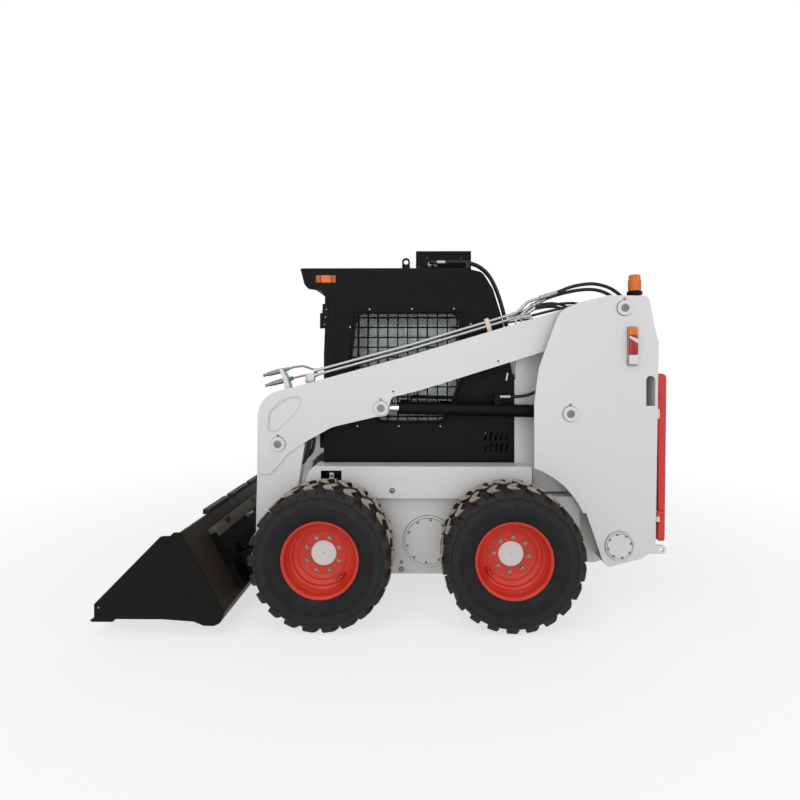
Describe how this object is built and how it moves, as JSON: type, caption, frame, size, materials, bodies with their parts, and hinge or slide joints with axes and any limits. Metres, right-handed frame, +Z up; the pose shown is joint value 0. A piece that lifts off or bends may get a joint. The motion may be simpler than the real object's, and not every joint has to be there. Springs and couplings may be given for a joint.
{
  "type": "skid steer loader",
  "caption": "Compact wheeled loader with a boxed cab, two side lift arms pivoted on rear towers, a pinned bucket, hydraulic cylinders, swing doors and a seat bar.",
  "frame": {"origin": "on the ground, under the middle of the whole machine's box", "axes": "+X forward along the machine, +Y to its left, +Z up"},
  "size_m": [3.3757, 1.8, 2.298],
  "materials": {
    "white_paint": "semi-gloss paint",
    "black_paint": "satin black paint",
    "bucket_paint": "satin black paint",
    "red_paint": "semi-gloss paint",
    "tyre_rubber": "matt rubber",
    "hose_rubber": "matt rubber",
    "rod_chrome": "hard chrome",
    "zinc_steel": "zinc plate",
    "window_glass": "clear",
    "floor_mat": "ribbed mat",
    "seat_vinyl": "grained vinyl",
    "engine_iron": "as cast",
    "lamp_plastic": "moulded lens"
  },
  "bodies": {
    "chassis": {"axle_housings": "black_paint", "main_frame": "white_paint", "fenders": "white_paint", "tower_skins": "white_paint", "tower_inners": "white_paint", "tower_pins": "white_paint", "tower_walls": "white_paint", "hood": "white_paint", "engine": "engine_iron", "cab_sides": "black_paint", "cab_screens": "black_paint", "side_windows": "window_glass", "cab_rear": "black_paint", "rear_window": "window_glass", "cab_roof": "black_paint", "cab_floor": "floor_mat", "air_conditioner": "black_paint", "cab_hoses": "hose_rubber", "seat_base": "black_paint", "seat_cushion": "seat_vinyl", "seat_back": "seat_vinyl", "control_levers": "black_paint", "tail_lamps": "lamp_plastic", "marker_lamps": "lamp_plastic", "beacon": "lamp_plastic"},
    "lift_arms": {"arm_left": "white_paint", "arm_right": "white_paint", "arm_crossbars": "white_paint", "arm_pipes": "zinc_steel", "arm_hoses": "hose_rubber", "couplers": "zinc_steel"},
    "bucket": {"carrier": "black_paint", "bucket": "bucket_paint", "cutting_edge": "bucket_paint"},
    "tail_door": {"tail_door": "red_paint"},
    "front_door": {"front_door": "black_paint", "door_glass": "window_glass"},
    "seat_bar": {"seat_bar": "black_paint"},
    "wheel_rear_left": {"rim_rear_left": "red_paint", "tyre_rear_left": "tyre_rubber"},
    "wheel_rear_right": {"rim_rear_right": "red_paint", "tyre_rear_right": "tyre_rubber"},
    "wheel_front_left": {"rim_front_left": "red_paint", "tyre_front_left": "tyre_rubber"},
    "wheel_front_right": {"rim_front_right": "red_paint", "tyre_front_right": "tyre_rubber"},
    "lift_barrel_left": {"lift_barrel_left": "black_paint"},
    "lift_rod_left": {"lift_rod_left": "rod_chrome"},
    "tilt_barrel_left": {"tilt_barrel_left": "black_paint"},
    "tilt_rod_left": {"tilt_rod_left": "rod_chrome"},
    "lift_barrel_right": {"lift_barrel_right": "black_paint"},
    "lift_rod_right": {"lift_rod_right": "rod_chrome"},
    "tilt_barrel_right": {"tilt_barrel_right": "black_paint"},
    "tilt_rod_right": {"tilt_rod_right": "rod_chrome"}
  },
  "joints": [
    {"name": "wheel_rear_left_spin", "type": "hinge", "parent": "chassis", "child": "wheel_rear_left", "pos_m": [-0.691, 0.7265, 0.415], "axis": [0, 1, 0], "continuous": true},
    {"name": "wheel_rear_right_spin", "type": "hinge", "parent": "chassis", "child": "wheel_rear_right", "pos_m": [-0.691, -0.7265, 0.415], "axis": [0, 1, 0], "continuous": true},
    {"name": "wheel_front_left_spin", "type": "hinge", "parent": "chassis", "child": "wheel_front_left", "pos_m": [0.411, 0.7265, 0.415], "axis": [0, 1, 0], "continuous": true},
    {"name": "wheel_front_right_spin", "type": "hinge", "parent": "chassis", "child": "wheel_front_right", "pos_m": [0.411, -0.7265, 0.415], "axis": [0, 1, 0], "continuous": true},
    {"name": "arm_lift", "type": "hinge", "parent": "chassis", "child": "lift_arms", "pos_m": [-1.404, 0, 1.872], "axis": [0, -1, 0], "range_deg": [-1.2, 62]},
    {"name": "bucket_tilt", "type": "hinge", "parent": "lift_arms", "child": "bucket", "pos_m": [0.849, 0, 0.18], "axis": [0, -1, 0], "range_deg": [-100, 25]},
    {"name": "lift_barrel_left_swing", "type": "hinge", "parent": "chassis", "child": "lift_barrel_left", "pos_m": [-1.075, 0.49, 1.226], "axis": [0, -1, 0], "range_deg": [-1.66, 60.42]},
    {"name": "lift_rod_left_slide", "type": "slide", "parent": "lift_barrel_left", "child": "lift_rod_left", "axis": [0.9997, 0, 0.0232], "range_m": [-0.01641, 0.74678]},
    {"name": "tilt_barrel_left_swing", "type": "hinge", "parent": "lift_arms", "child": "tilt_barrel_left", "pos_m": [0.738, 0.49, 1.027], "axis": [0, -1, 0], "range_deg": [-0.78, 1.63]},
    {"name": "tilt_rod_left_slide", "type": "slide", "parent": "tilt_barrel_left", "child": "tilt_rod_left", "axis": [0.2298, 0, -0.9732], "range_m": [-0.05845, 0.22778]},
    {"name": "lift_barrel_right_swing", "type": "hinge", "parent": "chassis", "child": "lift_barrel_right", "pos_m": [-1.075, -0.49, 1.226], "axis": [0, -1, 0], "range_deg": [-1.66, 60.42]},
    {"name": "lift_rod_right_slide", "type": "slide", "parent": "lift_barrel_right", "child": "lift_rod_right", "axis": [0.9997, 0, 0.0232], "range_m": [-0.01641, 0.74678]},
    {"name": "tilt_barrel_right_swing", "type": "hinge", "parent": "lift_arms", "child": "tilt_barrel_right", "pos_m": [0.738, -0.49, 1.027], "axis": [0, -1, 0], "range_deg": [-0.78, 1.63]},
    {"name": "tilt_rod_right_slide", "type": "slide", "parent": "tilt_barrel_right", "child": "tilt_rod_right", "axis": [0.2298, 0, -0.9732], "range_m": [-0.05845, 0.22778]},
    {"name": "tail_door_swing", "type": "hinge", "parent": "chassis", "child": "tail_door", "pos_m": [-1.623, 0.575, 0.95], "axis": [0, 0, -1], "range_deg": [0, 110]},
    {"name": "front_door_swing", "type": "hinge", "parent": "chassis", "child": "front_door", "pos_m": [0.493, 0.402, 1.35], "axis": [0, 0, 1], "range_deg": [0, 88]},
    {"name": "seat_bar_swing", "type": "hinge", "parent": "chassis", "child": "seat_bar", "pos_m": [-0.541, 0, 1.56], "axis": [0, -1, 0], "range_deg": [0, 78]}
  ],
  "couplings": [
    {"joint": "lift_barrel_left_swing", "follows": "arm_lift", "ratio": 0.96638},
    {"joint": "lift_rod_left_slide", "follows": "arm_lift", "m_per_rad": 0.68827},
    {"joint": "tilt_barrel_left_swing", "follows": "bucket_tilt", "ratio": -0.011308},
    {"joint": "tilt_rod_left_slide", "follows": "bucket_tilt", "m_per_rad": -0.12937},
    {"joint": "lift_barrel_right_swing", "follows": "arm_lift", "ratio": 0.96638},
    {"joint": "lift_rod_right_slide", "follows": "arm_lift", "m_per_rad": 0.68827},
    {"joint": "tilt_barrel_right_swing", "follows": "bucket_tilt", "ratio": -0.011308},
    {"joint": "tilt_rod_right_slide", "follows": "bucket_tilt", "m_per_rad": -0.12937}
  ]
}
